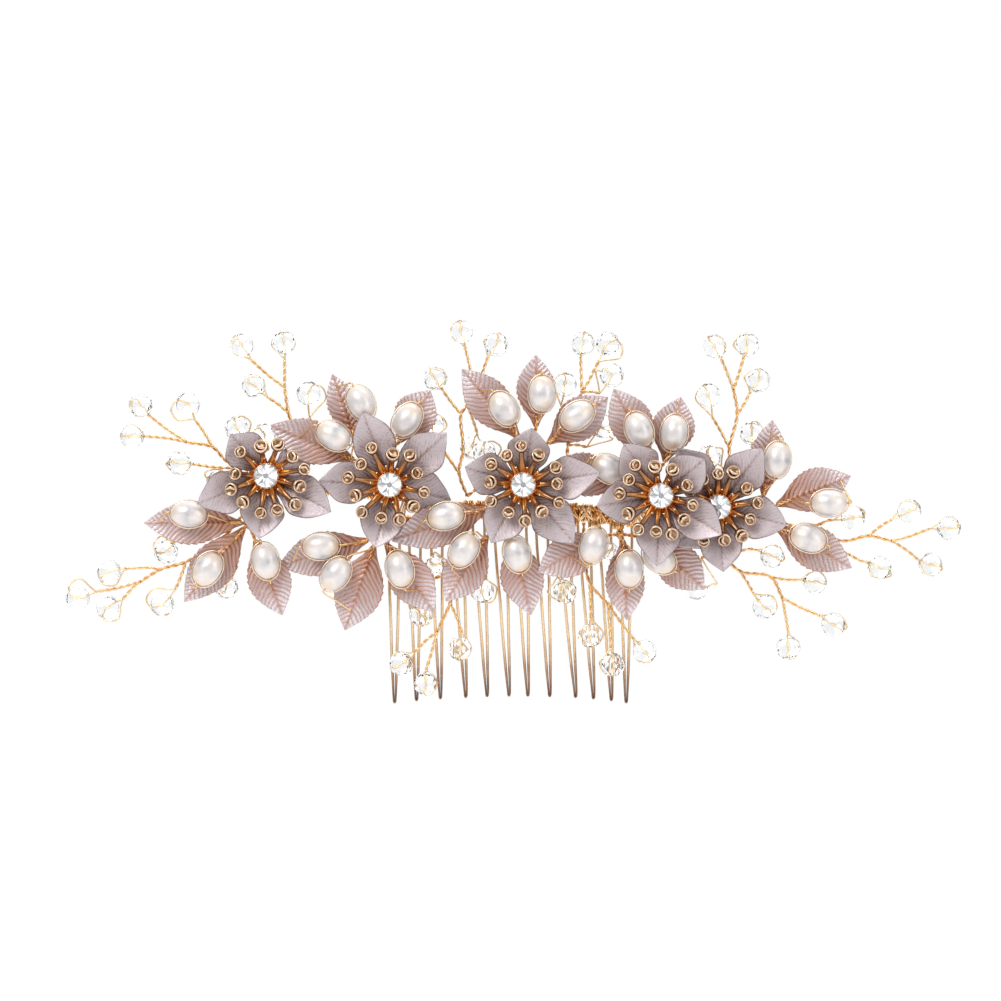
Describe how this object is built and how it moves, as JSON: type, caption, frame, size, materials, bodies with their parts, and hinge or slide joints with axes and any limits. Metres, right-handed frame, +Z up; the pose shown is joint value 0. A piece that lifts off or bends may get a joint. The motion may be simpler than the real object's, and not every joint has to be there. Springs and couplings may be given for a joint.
{
  "type": "decorative hair comb",
  "caption": "Wire side comb with metal flowers, veined leaves, oval pearls strung on wire, and clear crystals on twisted wire sprigs.",
  "frame": {"origin": "middle of the comb's spine, where the comb meets the hair", "axes": "+X along the comb to the wearer's view right, +Z up away from the teeth, the ornament's front faces -Y"},
  "size_m": [0.179, 0.0203, 0.0768],
  "materials": {
    "comb_wire": "pale gold plated wire, darker at the tips",
    "gold_wire": "bright gold plated wire",
    "petal": "frosted mauve grey enamel, veined",
    "stamen": "polished rose gold",
    "rhinestone": "foiled brilliant cut glass",
    "leaf": "frosted rose gold, embossed veins",
    "pearl": "ivory pearl lustre",
    "crystal": "clear faceted glass"
  },
  "bodies": {
    "comb": {"comb_wire": "comb_wire", "binding_wire": "gold_wire", "backbone_wire": "gold_wire", "flower_1_petals": "petal", "flower_1_stamens": "stamen", "flower_1_rhinestone": "rhinestone", "flower_2_petals": "petal", "flower_2_stamens": "stamen", "flower_2_rhinestone": "rhinestone", "flower_3_petals": "petal", "flower_3_stamens": "stamen", "flower_3_rhinestone": "rhinestone", "flower_4_petals": "petal", "flower_4_stamens": "stamen", "flower_4_rhinestone": "rhinestone", "flower_5_petals": "petal", "flower_5_stamens": "stamen", "flower_5_rhinestone": "rhinestone", "leaf_spray_1": "leaf", "leaf_spray_2": "leaf", "leaf_spray_3": "leaf", "leaf_spray_4": "leaf", "leaf_spray_5": "leaf", "leaf_spray_6": "leaf", "leaf_spray_7": "leaf", "leaf_spray_8": "leaf", "crystal_sprig_1": "crystal", "crystal_sprig_2": "crystal", "crystal_sprig_3": "crystal", "crystal_sprig_4": "crystal", "crystal_sprig_5": "crystal", "crystal_sprig_6": "crystal", "crystal_sprig_7": "crystal", "crystal_sprig_8": "crystal", "crystal_sprig_9": "crystal", "crystal_sprig_10": "crystal"},
    "pearl_1_1": {"pearl_1_1": "pearl"},
    "pearl_1_2": {"pearl_1_2": "pearl"},
    "pearl_1_3": {"pearl_1_3": "pearl"},
    "pearl_2_1": {"pearl_2_1": "pearl"},
    "pearl_2_2": {"pearl_2_2": "pearl"},
    "pearl_2_3": {"pearl_2_3": "pearl"},
    "pearl_3_1": {"pearl_3_1": "pearl"},
    "pearl_3_2": {"pearl_3_2": "pearl"},
    "pearl_3_3": {"pearl_3_3": "pearl"},
    "pearl_4_1": {"pearl_4_1": "pearl"},
    "pearl_4_2": {"pearl_4_2": "pearl"},
    "pearl_4_3": {"pearl_4_3": "pearl"},
    "pearl_5_1": {"pearl_5_1": "pearl"},
    "pearl_5_2": {"pearl_5_2": "pearl"},
    "pearl_5_3": {"pearl_5_3": "pearl"},
    "pearl_6_1": {"pearl_6_1": "pearl"},
    "pearl_6_2": {"pearl_6_2": "pearl"},
    "pearl_6_3": {"pearl_6_3": "pearl"},
    "pearl_7_1": {"pearl_7_1": "pearl"},
    "pearl_7_2": {"pearl_7_2": "pearl"},
    "pearl_7_3": {"pearl_7_3": "pearl"},
    "pearl_8_1": {"pearl_8_1": "pearl"},
    "pearl_8_2": {"pearl_8_2": "pearl"},
    "pearl_8_3": {"pearl_8_3": "pearl"}
  },
  "joints": [
    {"name": "pearl_1_1_spin", "type": "hinge", "parent": "comb", "child": "pearl_1_1", "pos_m": [-0.0642, -0.00785, 0.0002], "axis": [0.9962, 0, -0.0872], "continuous": true},
    {"name": "pearl_1_2_spin", "type": "hinge", "parent": "comb", "child": "pearl_1_2", "pos_m": [-0.0604, -0.00785, -0.0108], "axis": [0.5446, 0, 0.8387], "continuous": true},
    {"name": "pearl_1_3_spin", "type": "hinge", "parent": "comb", "child": "pearl_1_3", "pos_m": [-0.0488, -0.00869, -0.0092], "axis": [-0.225, 0, 0.9744], "continuous": true},
    {"name": "pearl_2_1_spin", "type": "hinge", "parent": "comb", "child": "pearl_2_1", "pos_m": [-0.0378, -0.00765, -0.0062], "axis": [0.9986, 0, 0.0523], "continuous": true},
    {"name": "pearl_2_2_spin", "type": "hinge", "parent": "comb", "child": "pearl_2_2", "pos_m": [-0.0348, -0.00869, -0.0118], "axis": [0.5736, 0, 0.8192], "continuous": true},
    {"name": "pearl_2_3_spin", "type": "hinge", "parent": "comb", "child": "pearl_2_3", "pos_m": [-0.022, -0.0092, -0.0108], "axis": [-0.2588, 0, 0.9659], "continuous": true},
    {"name": "pearl_3_1_spin", "type": "hinge", "parent": "comb", "child": "pearl_3_1", "pos_m": [-0.0352, -0.0095, 0.0158], "axis": [0.866, 0, -0.5], "continuous": true},
    {"name": "pearl_3_2_spin", "type": "hinge", "parent": "comb", "child": "pearl_3_2", "pos_m": [-0.0298, -0.00696, 0.0224], "axis": [0.4226, 0, -0.9063], "continuous": true},
    {"name": "pearl_3_3_spin", "type": "hinge", "parent": "comb", "child": "pearl_3_3", "pos_m": [-0.0206, -0.00697, 0.019], "axis": [0.5736, 0, 0.8192], "continuous": true},
    {"name": "pearl_4_1_spin", "type": "hinge", "parent": "comb", "child": "pearl_4_1", "pos_m": [-0.0012, -0.00792, 0.0212], "axis": [0.5446, 0, -0.8387], "continuous": true},
    {"name": "pearl_4_2_spin", "type": "hinge", "parent": "comb", "child": "pearl_4_2", "pos_m": [0.0064, -0.00785, 0.0242], "axis": [0.0349, 0, 0.9994], "continuous": true},
    {"name": "pearl_4_3_spin", "type": "hinge", "parent": "comb", "child": "pearl_4_3", "pos_m": [0.0134, -0.00764, 0.0198], "axis": [0.8192, 0, 0.5736], "continuous": true},
    {"name": "pearl_5_1_spin", "type": "hinge", "parent": "comb", "child": "pearl_5_1", "pos_m": [-0.0128, -0.00974, -0.0002], "axis": [0.9781, 0, 0.2079], "continuous": true},
    {"name": "pearl_5_2_spin", "type": "hinge", "parent": "comb", "child": "pearl_5_2", "pos_m": [-0.0092, -0.00954, -0.007], "axis": [0.5446, 0, 0.8387], "continuous": true},
    {"name": "pearl_5_3_spin", "type": "hinge", "parent": "comb", "child": "pearl_5_3", "pos_m": [0.0014, -0.00795, -0.0078], "axis": [-0.2588, 0, 0.9659], "continuous": true},
    {"name": "pearl_6_1_spin", "type": "hinge", "parent": "comb", "child": "pearl_6_1", "pos_m": [0.0167, -0.00877, -0.0061], "axis": [0.2588, 0, 0.9659], "continuous": true},
    {"name": "pearl_6_2_spin", "type": "hinge", "parent": "comb", "child": "pearl_6_2", "pos_m": [0.0238, -0.00847, -0.0108], "axis": [0, 0, 1], "continuous": true},
    {"name": "pearl_6_3_spin", "type": "hinge", "parent": "comb", "child": "pearl_6_3", "pos_m": [0.0298, -0.00735, -0.0086], "axis": [0.766, 0, -0.6428], "continuous": true},
    {"name": "pearl_7_1_spin", "type": "hinge", "parent": "comb", "child": "pearl_7_1", "pos_m": [0.0198, -0.00692, 0.0092], "axis": [0.866, 0, -0.5], "continuous": true},
    {"name": "pearl_7_2_spin", "type": "hinge", "parent": "comb", "child": "pearl_7_2", "pos_m": [0.0258, -0.00803, 0.017], "axis": [0.4226, 0, -0.9063], "continuous": true},
    {"name": "pearl_7_3_spin", "type": "hinge", "parent": "comb", "child": "pearl_7_3", "pos_m": [0.0328, -0.00716, 0.0164], "axis": [0.1736, 0, 0.9848], "continuous": true},
    {"name": "pearl_8_1_spin", "type": "hinge", "parent": "comb", "child": "pearl_8_1", "pos_m": [0.0534, -0.00665, 0.011], "axis": [0.1392, 0, 0.9903], "continuous": true},
    {"name": "pearl_8_2_spin", "type": "hinge", "parent": "comb", "child": "pearl_8_2", "pos_m": [0.0638, -0.0077, 0.0024], "axis": [1, 0, 0], "continuous": true},
    {"name": "pearl_8_3_spin", "type": "hinge", "parent": "comb", "child": "pearl_8_3", "pos_m": [0.0596, -0.0076, -0.0046], "axis": [0.9397, 0, -0.342], "continuous": true}
  ]
}
